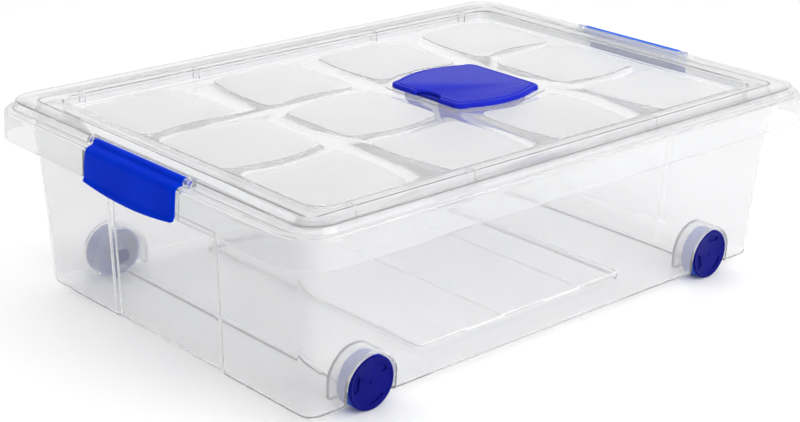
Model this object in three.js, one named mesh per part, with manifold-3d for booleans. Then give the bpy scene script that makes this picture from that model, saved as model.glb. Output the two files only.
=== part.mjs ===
// Shallow under bed storage box on four wheels, with a clear lid, two end latches
// and a small lidded compartment in the lid.
// Millimetres, +Z up. X runs along the box, Y across it. The origin is on the floor, under the centre.

import * as THREE from 'three';
import { mergeVertices } from 'three/addons/utils/BufferGeometryUtils.js';
import Module from 'manifold-3d';

const wasm = await Module();
wasm.setup();

// Driving dimensions

const RIM_HALF_X = 300;
const RIM_HALF_Y = 210;
const RIM_CORNER = 38.4;
const RIM_TOP = 166.5;
const RIM_ROUND = 4;
const SKIRT_BOTTOM = 142.4;
const SKIRT_DRAFT = 1;
const PLASTIC = 2;
const GAP = 0.3;

const BODY_BOTTOM = 8.5;
const BODY_HALF_X = 266.2;
const BODY_HALF_Y = 176;
const BODY_CORNER = 13;
const BODY_DRAFT = 0.0545;
const BODY_FOOT_ROUND = 3;

const END_RECESS_HALF_Y = 74;
const END_RECESS_DEPTH = 2.5;
const END_RECESS_TOP = 128;
const LATCH_RECESS_HALF_Y = 62;
const LATCH_RECESS_DEPTH = 1.6;

const PLATEAU_HALF_X = 122;
const PLATEAU_HALF_Y = 141;
const PLATEAU_RISE = 5;
const FLOOR_PAD_CENTRES = [-94, 0, 94];
const FLOOR_PAD_HALF_X = 28;
const FLOOR_PAD_RISE = 1;
const FLOOR_RIB_HALF_WIDTH = 3;
const FLOOR_RIB_RISE = 2;

const WHEEL_X = 204.7;
const WHEEL_RADIUS = 22.6;
const WHEEL_WIDTH = 16;
const WHEEL_OUTER_Y = 176.9;
const WHEEL_WALL = 2.6;
const WHEEL_FACE = 3;
const WELL_RADIUS = 24.6;
const WELL_BACK_Y = 155.8;
const AXLE_RADIUS = 3;
const AXLE_BEAD = 0.5;
const AXLE_TIP_Y = 172.6;
const AXLE_HEAD_RADIUS = 6;
const HUB_RADIUS = 6.5;
const BOSS_RADIUS = 6;
const BOSS_LENGTH = 4.6;

const LID_TOP = 173;
const LID_BEVEL_X = 4;
const LID_BEVEL_Y = 1.6;
const LID_HALF_X = 291;
const LID_HALF_Y = 202.6;
const LID_CORNER = 28;
const PANEL_HALF_X = 254;
const PANEL_HALF_Y = 168.8;
const PANEL_CORNER = 14;
const PANEL_TOP = 163.8;
const LIP_HALF_X = 271.5;
const LIP_HALF_Y = 181.3;
const LIP_CORNER = 10;
const LIP_BOTTOM = 158;
const GUSSET_X = [-227, -107, 107, 227];
const GUSSET_Y = [-150, 150];

const PAD_RISE = 1.2;
const PAD_COLUMN_EDGES = [-243, -127, 0, 127, 243];
const PAD_HALF_GAP = 12.5;
const PAD_FLARES = [0, 9, 3.5, 9, 0];
const PAD_CORNER = 15;
const PAD_MID_HALF_Y = 45;
const PAD_MID_BULGE = 5.5;
const PAD_OUTER_START_Y = 62;
const PAD_OUTER_END_Y = 158;
const CAP_COLUMN = 2;

const CAP_X = 60.5;
const CAP_HALF_X = 51.5;
const CAP_HALF_Y = 46;
const CAP_BULGE = 9;
const CAP_CORNER = 11;
const CAP_TOP = 168.9;
const CAP_PLATE = 2.5;
const CAP_NOTCH_MIDDLE_Y = -4;
const CAP_NOTCH_HALF_Y = 15;
const CAP_NOTCH_DEPTH = 9.5;
const CURB_RISE = 0.7;
const CURB_INSIDE = 0.6;
const CURB_OUTSIDE = 4.8;
const CAP_PLUG_BOTTOM = 160;
const TRAY_BOTTOM = 137;
const TRAY_WALL = 1.8;
const TRAY_FLANGE_INSET = 2.9;
const TRAY_FLANGE = 1.7;
const TRAY_INSET = 9;
const TRAY_SLOT_COUNT = 5;
const TRAY_SLOT_PITCH = 14;

const HINGE_X = 288.5;
const HINGE_Z = 170.1;
const BARREL_RADIUS = 3.3;
const LATCH_HALF_Y = 59;
const LATCH_BOTTOM = 136;
const LATCH_BOW = 5;
const LATCH_PLATE = 1.9;
const LATCH_PIN_RADIUS = 2;
const LATCH_PIN_END = 65;
const CATCH_HALF_Y = 35;
const CHEEK_START_Y = 61;
const CHEEK_END_Y = 67;

const CORNER_STEPS = 4;
const OUTLINE_STEPS = 5;
const ARCH_STEPS = 9;
const BAR_STEPS = 24;
const WHEEL_STEPS = 32;

// Solids and booleans

function facesOut(positions, triangles) {
  let volume = 0;
  const corner = [new THREE.Vector3(), new THREE.Vector3(), new THREE.Vector3()];
  for (let i = 0; i < triangles.length; i += 3) {
    corner.forEach((point, k) => point.fromArray(positions, 3 * triangles[i + k]));
    volume += corner[0].dot(corner[1].cross(corner[2]));
  }
  return volume > 0;
}

function solid(geometry) {
  const plain = geometry.clone();
  plain.deleteAttribute('normal');
  plain.deleteAttribute('uv');
  const merged = mergeVertices(plain, 1e-4);
  const positions = merged.attributes.position.array;
  const triangles = [];
  for (let i = 0; i < merged.index.count; i += 3) {
    const [a, b, c] = [0, 1, 2].map((k) => merged.index.getX(i + k));
    if (a !== b && b !== c && c !== a) {
      triangles.push(a, b, c);
    }
  }
  if (!facesOut(positions, triangles)) {
    triangles.reverse();
  }
  return new wasm.Manifold(new wasm.Mesh({
    numProp: 3,
    vertProperties: new Float32Array(positions),
    triVerts: new Uint32Array(triangles),
  }));
}

function joined(solids) {
  return solids.reduce((whole, next) => whole.add(next));
}

function cut(base, tools) {
  return tools.reduce((whole, next) => whole.subtract(next), base);
}

function toMesh(shape, name, material) {
  const result = shape.getMesh();
  const geometry = new THREE.BufferGeometry();
  geometry.setAttribute('position', new THREE.BufferAttribute(new Float32Array(result.vertProperties), 3));
  geometry.setIndex(new THREE.BufferAttribute(new Uint32Array(result.triVerts), 1));
  geometry.computeVertexNormals();
  const mesh = new THREE.Mesh(geometry, material);
  mesh.name = name;
  return mesh;
}

// A box between two corners.
function block(low, high) {
  const size = high.map((value, i) => value - low[i]);
  const middle = high.map((value, i) => (value + low[i]) / 2);
  return solid(new THREE.BoxGeometry(...size).translate(...middle));
}

// A block of any height along X, the same on both ends or both sides.
function bothEnds(low, high) {
  return [1, -1].map((side) => {
    const x = [side * low[0], side * high[0]].sort((a, b) => a - b);
    return block([x[0], low[1], low[2]], [x[1], high[1], high[2]]);
  });
}

// A round bar along Y.
function barAlongY(radius, x, z, lowY, highY) {
  const geometry = new THREE.CylinderGeometry(radius, radius, highY - lowY, BAR_STEPS);
  return solid(geometry.translate(x, (lowY + highY) / 2, z));
}

// A shape drawn in X and Z, drawn out along Y.
function prismAlongY(shape, lowY, highY) {
  const settings = { depth: highY - lowY, bevelEnabled: false, curveSegments: ARCH_STEPS };
  const geometry = new THREE.ExtrudeGeometry(shape, settings);
  return solid(geometry.rotateX(Math.PI / 2).translate(0, highY, 0));
}

// A shape drawn in X and Y, drawn up along Z.
function prismAlongZ(shape, lowZ, highZ) {
  const settings = { depth: highZ - lowZ, bevelEnabled: false, curveSegments: OUTLINE_STEPS };
  return solid(new THREE.ExtrudeGeometry(shape, settings).translate(0, 0, lowZ));
}

function roundedRectangle(halfX, halfY, radius) {
  const x = halfX - radius;
  const y = halfY - radius;
  const shape = new THREE.Shape();
  shape.absarc(x, y, radius, 0, Math.PI / 2);
  shape.absarc(-x, y, radius, Math.PI / 2, Math.PI);
  shape.absarc(-x, -y, radius, Math.PI, 1.5 * Math.PI);
  shape.absarc(x, -y, radius, 1.5 * Math.PI, 2 * Math.PI);
  return shape;
}

// A block with round corners whose outline changes from level to level.
// Each level is { z, halfX, halfY, radius }.
function levelledBlock(levels) {
  const unit = { half: 2, radius: 1 };
  const shape = roundedRectangle(unit.half, unit.half, unit.radius);
  const rises = levels.length - 1;
  const settings = { depth: rises, steps: rises, bevelEnabled: false, curveSegments: CORNER_STEPS };
  const geometry = new THREE.ExtrudeGeometry(shape, settings);
  const position = geometry.attributes.position;
  for (let i = 0; i < position.count; i += 1) {
    const level = levels[Math.round(position.getZ(i))];
    const [x, y] = [position.getX(i), position.getY(i)];
    const arcX = Math.abs(x) - (unit.half - unit.radius);
    const arcY = Math.abs(y) - (unit.half - unit.radius);
    const newX = level.halfX - level.radius + level.radius * arcX;
    const newY = level.halfY - level.radius + level.radius * arcY;
    position.setXYZ(i, Math.sign(x) * newX, Math.sign(y) * newY, level.z);
  }
  return solid(geometry);
}

// Box body

function wallLevel(z, inset) {
  const grow = BODY_DRAFT * (z - BODY_BOTTOM) - inset;
  return { z, halfX: BODY_HALF_X + grow, halfY: BODY_HALF_Y + grow, radius: BODY_CORNER - inset };
}

function rimLevel(z, inset) {
  return { z, halfX: RIM_HALF_X - inset, halfY: RIM_HALF_Y - inset, radius: RIM_CORNER - inset };
}

// The end wall stands back by a step over its middle, from the floor nearly to the rim.
function endRecess(depth, halfY, lowZ, highZ) {
  const face = (z) => BODY_HALF_X + BODY_DRAFT * (z - BODY_BOTTOM) - depth;
  return [1, -1].map((side) => {
    const shape = new THREE.Shape([
      new THREE.Vector2(side * face(lowZ), lowZ),
      new THREE.Vector2(side * RIM_HALF_X, lowZ),
      new THREE.Vector2(side * RIM_HALF_X, highZ),
      new THREE.Vector2(side * face(highZ), highZ),
    ]);
    return prismAlongY(shape, -halfY, halfY);
  });
}

// The rim stands back a little at the middle of each end, where a latch lies over it.
function steppedBackForLatches(levels, halfY) {
  const narrow = levels.map((level) => ({ ...level, halfX: level.halfX - LATCH_RECESS_DEPTH }));
  const zone = bothEnds([BODY_HALF_X, -halfY, 0], [RIM_HALF_X + 1, halfY, RIM_TOP + 1]);
  return cut(levelledBlock(levels), zone).add(levelledBlock(narrow));
}

// A wheel well is an upright slot with a round top, open below and outwards.
function wellShape(radius, bottom) {
  const shape = new THREE.Shape();
  shape.moveTo(-radius, bottom);
  shape.lineTo(radius, bottom);
  shape.lineTo(radius, WHEEL_RADIUS);
  shape.absarc(0, WHEEL_RADIUS, radius, 0, Math.PI);
  return shape;
}

function atWheels(make) {
  return [-1, 1].flatMap((end) => [-1, 1].map((side) => make(end * WHEEL_X, side)));
}

function spanY(side, near, far) {
  return side > 0 ? [near, far] : [-far, -near];
}

function buildBody() {
  const outer = cut(levelledBlock([
    wallLevel(BODY_BOTTOM, BODY_FOOT_ROUND),
    wallLevel(BODY_BOTTOM + 0.3 * BODY_FOOT_ROUND, 0.3 * BODY_FOOT_ROUND),
    wallLevel(BODY_BOTTOM + BODY_FOOT_ROUND, 0),
    wallLevel(RIM_TOP, 0),
  ]), endRecess(END_RECESS_DEPTH, END_RECESS_HALF_Y, 0, END_RECESS_TOP));

  const skirtRound = 0.3 * RIM_ROUND;
  const rimOuter = steppedBackForLatches([
    rimLevel(SKIRT_BOTTOM, 0),
    rimLevel(RIM_TOP - RIM_ROUND, SKIRT_DRAFT),
    rimLevel(RIM_TOP - skirtRound, SKIRT_DRAFT + skirtRound),
    rimLevel(RIM_TOP, SKIRT_DRAFT + RIM_ROUND),
  ], LATCH_RECESS_HALF_Y);
  const rimInner = steppedBackForLatches([
    rimLevel(SKIRT_BOTTOM - 1, PLASTIC),
    rimLevel(RIM_TOP - RIM_ROUND, SKIRT_DRAFT + PLASTIC),
    rimLevel(RIM_TOP - PLASTIC, SKIRT_DRAFT + RIM_ROUND),
  ], LATCH_RECESS_HALF_Y + PLASTIC);

  const floorTop = BODY_BOTTOM + PLASTIC;
  const recessStep = endRecess(
    END_RECESS_DEPTH + PLASTIC, END_RECESS_HALF_Y + PLASTIC, 0, END_RECESS_TOP + PLASTIC,
  );
  const wellShells = atWheels((x, side) => {
    const [low, high] = spanY(side, WELL_BACK_Y - PLASTIC, RIM_HALF_Y);
    return prismAlongY(wellShape(WELL_RADIUS + PLASTIC, 0), low, high).translate([x, 0, 0]);
  });
  const cavity = cut(levelledBlock([
    wallLevel(floorTop, PLASTIC),
    wallLevel(RIM_TOP + 1, PLASTIC),
  ]), [...recessStep, ...wellShells]);

  const plateauTop = floorTop + PLATEAU_RISE;
  const plateau = block(
    [-PLATEAU_HALF_X, -PLATEAU_HALF_Y, BODY_BOTTOM + 1],
    [PLATEAU_HALF_X, PLATEAU_HALF_Y, plateauTop],
  );
  const underPlateau = block(
    [PLASTIC - PLATEAU_HALF_X, PLASTIC - PLATEAU_HALF_Y, 0],
    [PLATEAU_HALF_X - PLASTIC, PLATEAU_HALF_Y - PLASTIC, plateauTop - PLASTIC],
  );
  const pads = FLOOR_PAD_CENTRES.map((x) => block(
    [x - FLOOR_PAD_HALF_X, 1 - PLATEAU_HALF_Y, plateauTop - 1],
    [x + FLOOR_PAD_HALF_X, PLATEAU_HALF_Y - 1, plateauTop + FLOOR_PAD_RISE],
  ));
  const ribs = [-WHEEL_X, WHEEL_X].map((x) => block(
    [x - FLOOR_RIB_HALF_WIDTH, -WELL_BACK_Y + 1, BODY_BOTTOM + 1],
    [x + FLOOR_RIB_HALF_WIDTH, WELL_BACK_Y - 1, floorTop + FLOOR_RIB_RISE],
  ));

  const wells = atWheels((x, side) => {
    const [low, high] = spanY(side, WELL_BACK_Y, RIM_HALF_Y);
    return prismAlongY(wellShape(WELL_RADIUS, -1), low, high).translate([x, 0, 0]);
  });
  const bosses = atWheels((x, side) => {
    const [low, high] = spanY(side, WELL_BACK_Y - 1, WELL_BACK_Y + BOSS_LENGTH);
    return barAlongY(BOSS_RADIUS, x, WHEEL_RADIUS, low, high);
  });
  const axleHoles = atWheels((x, side) => {
    const [low, high] = spanY(side, WELL_BACK_Y - PLASTIC - 1, WHEEL_OUTER_Y);
    return barAlongY(AXLE_RADIUS + GAP, x, WHEEL_RADIUS, low, high);
  });

  const shell = cut(outer.add(rimOuter.subtract(rimInner)), [cavity, ...wells]);
  return cut(joined([shell, plateau, ...pads, ...ribs, ...bosses]), [underPlateau, ...axleHoles]);
}

// Wheels and axles, each made about its own axle with the outer face towards -Y

function turned(profile, steps) {
  const points = profile.map(([radius, y]) => new THREE.Vector2(radius, y));
  return solid(new THREE.LatheGeometry([...points, points[0].clone()], steps));
}

function buildWheel() {
  const bore = AXLE_RADIUS + GAP;
  const groove = AXLE_RADIUS + AXLE_BEAD + GAP;
  const tip = WHEEL_OUTER_Y - AXLE_TIP_Y - GAP;
  const beadLength = 2.4;
  const rimInside = WHEEL_RADIUS - WHEEL_WALL;
  const edge = 0.8;
  return turned([
    [0, 0.6],
    [WHEEL_RADIUS - 3.5, 0.6],
    [WHEEL_RADIUS - 2.6, 0],
    [WHEEL_RADIUS - edge, 0],
    [WHEEL_RADIUS, edge],
    [WHEEL_RADIUS, WHEEL_WIDTH],
    [rimInside, WHEEL_WIDTH],
    [rimInside, WHEEL_FACE],
    [HUB_RADIUS, WHEEL_FACE],
    [HUB_RADIUS, WHEEL_WIDTH],
    [bore, WHEEL_WIDTH],
    [bore, tip + beadLength],
    [groove, tip + beadLength],
    [groove, tip],
    [0, tip],
  ], WHEEL_STEPS);
}

function buildAxle() {
  const tip = WHEEL_OUTER_Y - AXLE_TIP_Y;
  const bead = AXLE_RADIUS + AXLE_BEAD;
  const headStart = WHEEL_OUTER_Y - WELL_BACK_Y + PLASTIC + GAP;
  const headEnd = headStart + PLASTIC;
  return turned([
    [0, tip],
    [AXLE_RADIUS, tip],
    [bead, tip + 0.6],
    [bead, tip + 1.2],
    [AXLE_RADIUS, tip + 1.8],
    [AXLE_RADIUS, headStart],
    [AXLE_HEAD_RADIUS, headStart],
    [AXLE_HEAD_RADIUS, headEnd],
    [0, headEnd],
  ], BAR_STEPS);
}

// Lid

function lidLevel(z, insetX, insetY) {
  return {
    z,
    halfX: LID_HALF_X - insetX,
    halfY: LID_HALF_Y - insetY,
    radius: LID_CORNER - (insetX + insetY) / 2,
  };
}

function panelLevel(z, grow) {
  return { z, halfX: PANEL_HALF_X + grow, halfY: PANEL_HALF_Y + grow, radius: PANEL_CORNER + grow };
}

function lipLevel(z, inset) {
  return { z, halfX: LIP_HALF_X - inset, halfY: LIP_HALF_Y - inset, radius: LIP_CORNER - inset };
}

// A four-sided outline with round corners. Corners run anticlockwise, and each side may bow
// outwards: bows[i] belongs to the side from corner i to the next one.
function softOutline(corners, bows, radius) {
  const along = (from, to, distance) => {
    const step = to.clone().sub(from).normalize().multiplyScalar(distance);
    return from.clone().add(step);
  };
  const shape = new THREE.Shape();
  corners.forEach((corner, i) => {
    const previous = corners[(i + 3) % 4];
    const next = corners[(i + 1) % 4];
    const start = along(corner, previous, radius);
    const leave = along(corner, next, radius);
    const arrive = along(next, corner, radius);
    const outward = new THREE.Vector2(next.y - corner.y, corner.x - next.x).normalize();
    const middle = leave.clone().add(arrive).multiplyScalar(0.5).addScaledVector(outward, 2 * bows[i]);
    if (i === 0) {
      shape.moveTo(start.x, start.y);
    }
    shape.quadraticCurveTo(corner.x, corner.y, leave.x, leave.y);
    shape.quadraticCurveTo(middle.x, middle.y, arrive.x, arrive.y);
  });
  return shape;
}

function padOutline(column, row) {
  const last = PAD_COLUMN_EDGES.length - 2;
  const gapLow = column === 0 ? 0 : PAD_HALF_GAP;
  const gapHigh = column === last ? 0 : PAD_HALF_GAP;
  const flareLow = PAD_FLARES[column];
  const flareHigh = PAD_FLARES[column + 1];
  const lowX = PAD_COLUMN_EDGES[column] + gapLow;
  const highX = PAD_COLUMN_EDGES[column + 1] - gapHigh;
  if (row === 0) {
    const corners = [
      new THREE.Vector2(lowX, -PAD_MID_HALF_Y),
      new THREE.Vector2(highX, -PAD_MID_HALF_Y),
      new THREE.Vector2(highX, PAD_MID_HALF_Y),
      new THREE.Vector2(lowX, PAD_MID_HALF_Y),
    ];
    return softOutline(corners, [PAD_MID_BULGE, 0, PAD_MID_BULGE, 0], PAD_CORNER);
  }
  const corners = [
    new THREE.Vector2(lowX, row * PAD_OUTER_START_Y),
    new THREE.Vector2(highX, row * PAD_OUTER_START_Y),
    new THREE.Vector2(highX - flareHigh, row * PAD_OUTER_END_Y),
    new THREE.Vector2(lowX + flareLow, row * PAD_OUTER_END_Y),
  ];
  const bows = [-PAD_MID_BULGE, 0, 0, 0];
  if (row < 0) {
    corners.reverse();
    bows.reverse();
    bows.push(bows.shift());
  }
  return softOutline(corners, bows, PAD_CORNER);
}

function capOutline(inset) {
  const x = CAP_HALF_X - inset;
  const y = CAP_HALF_Y - inset;
  const corners = [
    new THREE.Vector2(CAP_X - x, -y),
    new THREE.Vector2(CAP_X + x, -y),
    new THREE.Vector2(CAP_X + x, y),
    new THREE.Vector2(CAP_X - x, y),
  ];
  return softOutline(corners, [CAP_BULGE, 0, CAP_BULGE, 0], Math.max(CAP_CORNER - inset / 2, 5));
}

function buildLid() {
  const bottom = RIM_TOP + GAP;
  const round = 0.8;
  const cover = levelledBlock([
    lidLevel(bottom, 0, 0),
    lidLevel(LID_TOP - round, LID_BEVEL_X - round / 2, LID_BEVEL_Y - round / 2),
    lidLevel(LID_TOP, LID_BEVEL_X + round / 2, LID_BEVEL_Y + round / 2),
  ]);
  const under = levelledBlock([
    lidLevel(bottom - 1, PLASTIC, PLASTIC),
    lidLevel(LID_TOP - PLASTIC, PLASTIC + LID_BEVEL_X / 2, PLASTIC + LID_BEVEL_Y / 2),
  ]);
  const panelBlock = levelledBlock([
    panelLevel(PANEL_TOP - PLASTIC, PLASTIC),
    panelLevel(LID_TOP - 1, PLASTIC),
  ]);
  const panelPocket = levelledBlock([panelLevel(PANEL_TOP, 0), panelLevel(LID_TOP + 1, 0)]);
  const lip = levelledBlock([lipLevel(LIP_BOTTOM, 0), lipLevel(LID_TOP - 1, 0)]).subtract(
    levelledBlock([lipLevel(LIP_BOTTOM - 1, PLASTIC), lipLevel(LID_TOP, PLASTIC)]),
  );

  const gussetZ = [PANEL_TOP - 1, LID_TOP - 1];
  const gussetWidth = 0.8;
  const sideGussets = GUSSET_X.flatMap((x) => [-1, 1].map((side) => {
    const [low, high] = spanY(side, PANEL_HALF_Y + 1, LIP_HALF_Y - 1);
    return block([x - gussetWidth, low, gussetZ[0]], [x + gussetWidth, high, gussetZ[1]]);
  }));
  const endGussets = GUSSET_Y.flatMap((y) => bothEnds(
    [PANEL_HALF_X + 1, y - gussetWidth, gussetZ[0]],
    [LIP_HALF_X - 1, y + gussetWidth, gussetZ[1]],
  ));

  const pads = PAD_COLUMN_EDGES.slice(1).flatMap((edge, column) => [-1, 0, 1]
    .filter((row) => column !== CAP_COLUMN || row !== 0)
    .map((row) => prismAlongZ(padOutline(column, row), PANEL_TOP - 1, PANEL_TOP + PAD_RISE)));
  const curb = prismAlongZ(capOutline(-CURB_OUTSIDE), PANEL_TOP - 1, PANEL_TOP + CURB_RISE).subtract(
    prismAlongZ(capOutline(-CURB_INSIDE), PANEL_TOP, PANEL_TOP + CURB_RISE + 1),
  );
  const trayHole = prismAlongZ(capOutline(TRAY_INSET - 2 * GAP), PANEL_TOP - 2 * PLASTIC, LID_TOP);

  const slotBack = HINGE_X - BARREL_RADIUS - 0.5;
  const slot = bothEnds(
    [slotBack, -CHEEK_START_Y, RIM_TOP - 1],
    [RIM_HALF_X, CHEEK_START_Y, LID_TOP + 1],
  );
  const slotWall = bothEnds(
    [slotBack - PLASTIC, -CHEEK_END_Y + 1, bottom + 0.3],
    [slotBack + 0.1, CHEEK_END_Y - 1, LID_TOP - 1],
  );
  const cheeks = [-1, 1].flatMap((side) => {
    const [low, high] = spanY(side, CHEEK_START_Y - 0.5, CHEEK_END_Y);
    const reach = HINGE_X + LATCH_PIN_RADIUS + 1.4;
    return bothEnds([slotBack - 1, low, bottom + 0.15], [reach, high, LID_TOP + 0.4]);
  });
  const pinHoles = [-HINGE_X, HINGE_X].map((x) => (
    barAlongY(LATCH_PIN_RADIUS + GAP, x, HINGE_Z, -LATCH_PIN_END - 0.5, LATCH_PIN_END + 0.5)
  ));

  const shell = cover.subtract(under).add(panelBlock).subtract(panelPocket);
  const ribbed = joined([shell, lip, ...sideGussets, ...endGussets, ...pads, curb]);
  const slotted = joined([cut(ribbed, [trayHole, ...slot]), ...slotWall, ...cheeks]);
  return cut(slotted, pinHoles);
}

// Compartment in the lid: a tray that hangs through the panel, and its lift-off cap

function buildTray() {
  const flangeBottom = PANEL_TOP + PAD_RISE + GAP - 1.2;
  const flangeTop = flangeBottom + TRAY_FLANGE;
  const flange = prismAlongZ(capOutline(TRAY_FLANGE_INSET), flangeBottom, flangeTop);
  const bucket = prismAlongZ(capOutline(TRAY_INSET), TRAY_BOTTOM, flangeTop);
  const inside = prismAlongZ(capOutline(TRAY_INSET + TRAY_WALL), TRAY_BOTTOM + PLASTIC, flangeTop + 1);
  const slots = [];
  for (let i = 0; i < TRAY_SLOT_COUNT; i += 1) {
    const x = CAP_X + TRAY_SLOT_PITCH * (i - (TRAY_SLOT_COUNT - 1) / 2);
    slots.push(block([x - 2, -26, TRAY_BOTTOM - 1], [x + 2, 26, TRAY_BOTTOM + PLASTIC + 1]));
  }
  const clipTop = PANEL_TOP - PLASTIC - GAP;
  const wallX = CAP_HALF_X - TRAY_INSET;
  const clips = [-1, 1].map((side) => {
    const x = [CAP_X + side * (wallX - 0.5), CAP_X + side * (wallX + 1.4)].sort((a, b) => a - b);
    return block([x[0], -10, clipTop - 1.5], [x[1], 10, clipTop]);
  });
  return cut(joined([flange, bucket, ...clips]), [inside, ...slots]);
}

function buildCap() {
  const plateBottom = CAP_TOP - CAP_PLATE;
  const edgeBottom = PANEL_TOP + GAP;
  const topRound = 0.8;
  const plate = prismAlongZ(capOutline(0), edgeBottom, CAP_TOP - topRound);
  const crown = prismAlongZ(capOutline(topRound), plateBottom, CAP_TOP);
  const under = prismAlongZ(capOutline(TRAY_FLANGE_INSET - 2 * GAP), edgeBottom - 1, plateBottom);
  const plugOutside = TRAY_INSET + TRAY_WALL + 0.8;
  const plug = prismAlongZ(capOutline(plugOutside), CAP_PLUG_BOTTOM, plateBottom + 1).subtract(
    prismAlongZ(capOutline(plugOutside + TRAY_WALL), CAP_PLUG_BOTTOM - 1, plateBottom),
  );
  const notchShape = new THREE.Shape();
  notchShape.absellipse(
    CAP_X - CAP_HALF_X, CAP_NOTCH_MIDDLE_Y, CAP_NOTCH_DEPTH, CAP_NOTCH_HALF_Y, 0, 2 * Math.PI,
  );
  const notch = prismAlongZ(notchShape, edgeBottom - 1, CAP_TOP + 1);
  return joined([plate.add(crown).subtract(under), plug]).subtract(notch);
}

// Latch for the +X end, in the place it has when shut. It turns about the pins in its barrel.

function latchSection() {
  const rimEdgeX = RIM_HALF_X - LATCH_RECESS_DEPTH;
  const cornerX = rimEdgeX - SKIRT_DRAFT - RIM_ROUND;
  const cornerZ = RIM_TOP - RIM_ROUND;
  const inside = RIM_ROUND + GAP + 0.1;
  const outside = inside + LATCH_PLATE;
  const straightZ = 141;
  const plateX = rimEdgeX + GAP;
  const shape = new THREE.Shape();
  shape.moveTo(HINGE_X, cornerZ + outside);
  shape.lineTo(HINGE_X, cornerZ + inside);
  shape.lineTo(cornerX, cornerZ + inside);
  shape.absarc(cornerX, cornerZ, inside, Math.PI / 2, 0, true);
  shape.lineTo(plateX, straightZ + 2);
  shape.lineTo(plateX + 0.6, straightZ);
  shape.lineTo(plateX + 1.4, LATCH_BOTTOM);
  shape.lineTo(plateX + 4.4, LATCH_BOTTOM);
  shape.lineTo(plateX + LATCH_PLATE + 0.8, straightZ);
  shape.lineTo(cornerX + outside, cornerZ);
  shape.absarc(cornerX, cornerZ, outside, 0, Math.PI / 2);
  return shape;
}

// The plate is longest in the middle of its lower edge.
function bowedPlate() {
  const settings = { depth: 2 * LATCH_HALF_Y, steps: 12, bevelEnabled: false, curveSegments: 5 };
  const geometry = new THREE.ExtrudeGeometry(latchSection(), settings);
  geometry.rotateX(Math.PI / 2).translate(0, LATCH_HALF_Y, 0);
  const position = geometry.attributes.position;
  for (let i = 0; i < position.count; i += 1) {
    if (position.getZ(i) < LATCH_BOTTOM + 1) {
      const across = position.getY(i) / LATCH_HALF_Y;
      position.setZ(i, LATCH_BOTTOM + LATCH_BOW * across * across * 0.8);
    }
  }
  return solid(geometry);
}

function buildLatch() {
  const barrel = barAlongY(BARREL_RADIUS, HINGE_X, HINGE_Z, -LATCH_HALF_Y, LATCH_HALF_Y);
  const pins = barAlongY(LATCH_PIN_RADIUS, HINGE_X, HINGE_Z, -LATCH_PIN_END, LATCH_PIN_END);
  const catchTop = SKIRT_BOTTOM - 0.4;
  const catchReach = RIM_HALF_X - LATCH_RECESS_DEPTH - 1.6;
  const catchBar = block(
    [catchReach, -CATCH_HALF_Y, catchTop - 2],
    [RIM_HALF_X + 0.5, CATCH_HALF_Y, catchTop],
  );
  const latch = joined([bowedPlate(), barrel, pins, catchBar]);
  return latch.translate([-HINGE_X, 0, -HINGE_Z]);
}

// Materials

const clearPlastic = new THREE.MeshStandardMaterial({
  color: 0xe9edf0, roughness: 0.22, metalness: 0, transparent: true, opacity: 0.4,
});
const bluePlastic = new THREE.MeshStandardMaterial({ color: 0x1a22a8, roughness: 0.35, metalness: 0 });
const latchPlastic = new THREE.MeshStandardMaterial({ color: 0x0a2fae, roughness: 0.3, metalness: 0 });
const axlePlastic = new THREE.MeshStandardMaterial({ color: 0x14188c, roughness: 0.4, metalness: 0 });

// Scene graph

const box = new THREE.Group();
box.add(toMesh(buildBody(), 'box_body', clearPlastic));

const wheelShape = buildWheel();
const axleShape = buildAxle();
const endNames = { '-1': 'left', 1: 'right' };
const sideNames = { '-1': 'front', 1: 'back' };
[-1, 1].forEach((end) => [-1, 1].forEach((side) => {
  const place = `${endNames[end]}_${sideNames[side]}`;
  const station = new THREE.Group();
  station.position.set(end * WHEEL_X, side * WHEEL_OUTER_Y, WHEEL_RADIUS);
  station.rotation.z = side > 0 ? Math.PI : 0;
  station.add(toMesh(wheelShape, `wheel_${place}`, bluePlastic));
  station.add(toMesh(axleShape, `axle_${place}`, axlePlastic));
  box.add(station);
}));

const lid = new THREE.Group();
lid.add(toMesh(buildLid(), 'lid', clearPlastic));
lid.add(toMesh(buildTray(), 'scent_tray', bluePlastic));
lid.add(toMesh(buildCap(), 'compartment_cap', bluePlastic));

const latchShape = buildLatch();
[-1, 1].forEach((end) => {
  const latch = toMesh(latchShape, `latch_${endNames[end]}`, latchPlastic);
  latch.position.set(end * HINGE_X, 0, HINGE_Z);
  latch.rotation.z = end < 0 ? Math.PI : 0;
  lid.add(latch);
});

const group = new THREE.Group();
group.add(box, lid);

export default group;
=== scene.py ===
"""Looks for the under bed box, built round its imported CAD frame. Metres, +Z up, X along the box."""

import math

import bmesh
import bpy
from mathutils import Matrix, Vector


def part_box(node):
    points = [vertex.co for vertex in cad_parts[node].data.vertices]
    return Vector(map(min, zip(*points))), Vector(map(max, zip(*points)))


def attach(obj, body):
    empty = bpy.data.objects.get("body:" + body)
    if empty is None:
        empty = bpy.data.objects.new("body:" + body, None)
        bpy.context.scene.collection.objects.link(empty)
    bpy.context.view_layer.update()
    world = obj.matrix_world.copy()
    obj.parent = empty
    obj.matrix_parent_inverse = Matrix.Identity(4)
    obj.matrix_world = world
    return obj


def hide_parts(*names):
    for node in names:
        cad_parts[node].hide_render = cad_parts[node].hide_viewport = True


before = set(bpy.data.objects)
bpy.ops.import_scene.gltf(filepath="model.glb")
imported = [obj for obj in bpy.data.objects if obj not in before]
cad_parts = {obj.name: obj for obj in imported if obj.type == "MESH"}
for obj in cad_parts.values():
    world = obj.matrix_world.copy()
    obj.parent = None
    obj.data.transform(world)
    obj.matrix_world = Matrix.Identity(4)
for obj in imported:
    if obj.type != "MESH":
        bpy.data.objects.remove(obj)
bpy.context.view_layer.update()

MM = 0.001
QUARTER = math.pi / 2
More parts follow.
